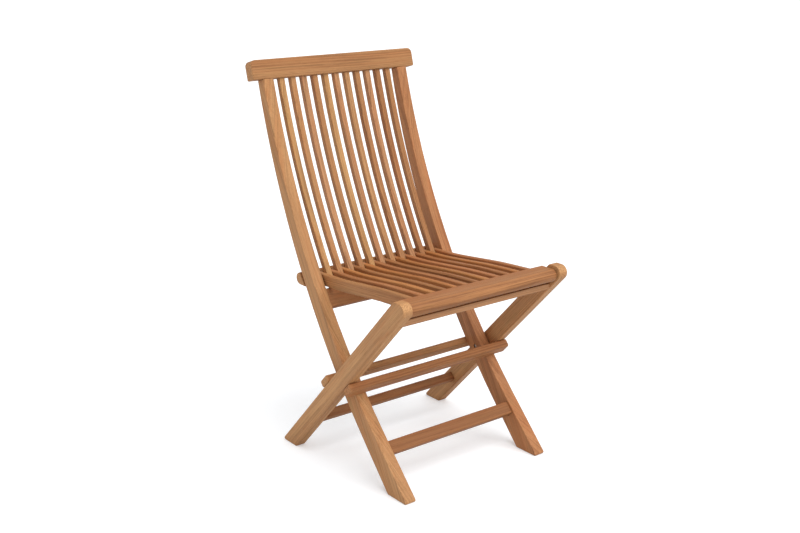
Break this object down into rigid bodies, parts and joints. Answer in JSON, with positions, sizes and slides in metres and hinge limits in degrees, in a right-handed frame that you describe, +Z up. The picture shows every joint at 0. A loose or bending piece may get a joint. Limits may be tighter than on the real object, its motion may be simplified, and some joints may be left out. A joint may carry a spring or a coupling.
{
  "type": "folding chair",
  "caption": "Slatted teak side chair on crossed legs; the seat slides up behind the curved back posts so the chair folds flat.",
  "frame": {"origin": "middle of the outline on the floor, under the chair, half way between the sides and between front and back", "axes": "+Z up, +X to the right seen from the front, the front of the chair faces -Y"},
  "size_m": [0.468, 0.5934, 0.8996],
  "materials": {
    "teak": "bare oiled teak, satin, grain along each piece",
    "teak_red": "bare teak of a redder board, satin",
    "teak_gold": "bare teak of a yellower board, satin",
    "steel": "plain stainless"
  },
  "bodies": {
    "back_frame": {"post_left": "teak", "post_right": "teak", "top_rail": "teak", "lower_back_rail": "teak_red", "back_slat_01": "teak_gold", "back_slat_02": "teak_red", "back_slat_03": "teak", "back_slat_04": "teak_red", "back_slat_05": "teak", "back_slat_06": "teak_gold", "back_slat_07": "teak_red", "back_slat_08": "teak", "back_slat_09": "teak_red", "back_slat_10": "teak", "back_slat_11": "teak_gold", "stop_bar_front": "teak_red", "stop_bar_rear": "teak", "front_stretcher": "teak_red", "crossing_pin_left": "steel", "crossing_pin_right": "steel", "crossing_washer_left": "steel", "crossing_washer_right": "steel"},
    "leg_frame": {"short_leg_left": "teak", "short_leg_right": "teak", "seat_support_rail": "teak_gold", "rear_stretcher": "teak_red"},
    "seat": {"seat_front_rail": "teak", "seat_slat_01": "teak", "seat_slat_02": "teak_red", "seat_slat_03": "teak_gold", "seat_slat_04": "teak", "seat_slat_05": "teak_red", "seat_slat_06": "teak", "seat_slat_07": "teak_red", "seat_slat_08": "teak_gold", "seat_slat_09": "teak", "seat_slat_10": "teak_red", "seat_slat_11": "teak", "seat_slat_12": "teak_red", "seat_rear_bar": "teak_red", "seat_pin_left": "steel", "seat_pin_right": "steel"}
  },
  "joints": [
    {"name": "fold", "type": "hinge", "parent": "back_frame", "child": "leg_frame", "pos_m": [0, -0.05159, 0.21076], "axis": [-1, 0, 0], "range_deg": [0, 68]},
    {"name": "seat_fold", "type": "hinge", "parent": "leg_frame", "child": "seat", "pos_m": [0, -0.27483, 0.446], "axis": [1, 0, 0], "range_deg": [0, 130]}
  ],
  "couplings": [
    {"joint": "seat_fold", "follows": "fold", "ratio": 1.88}
  ]
}
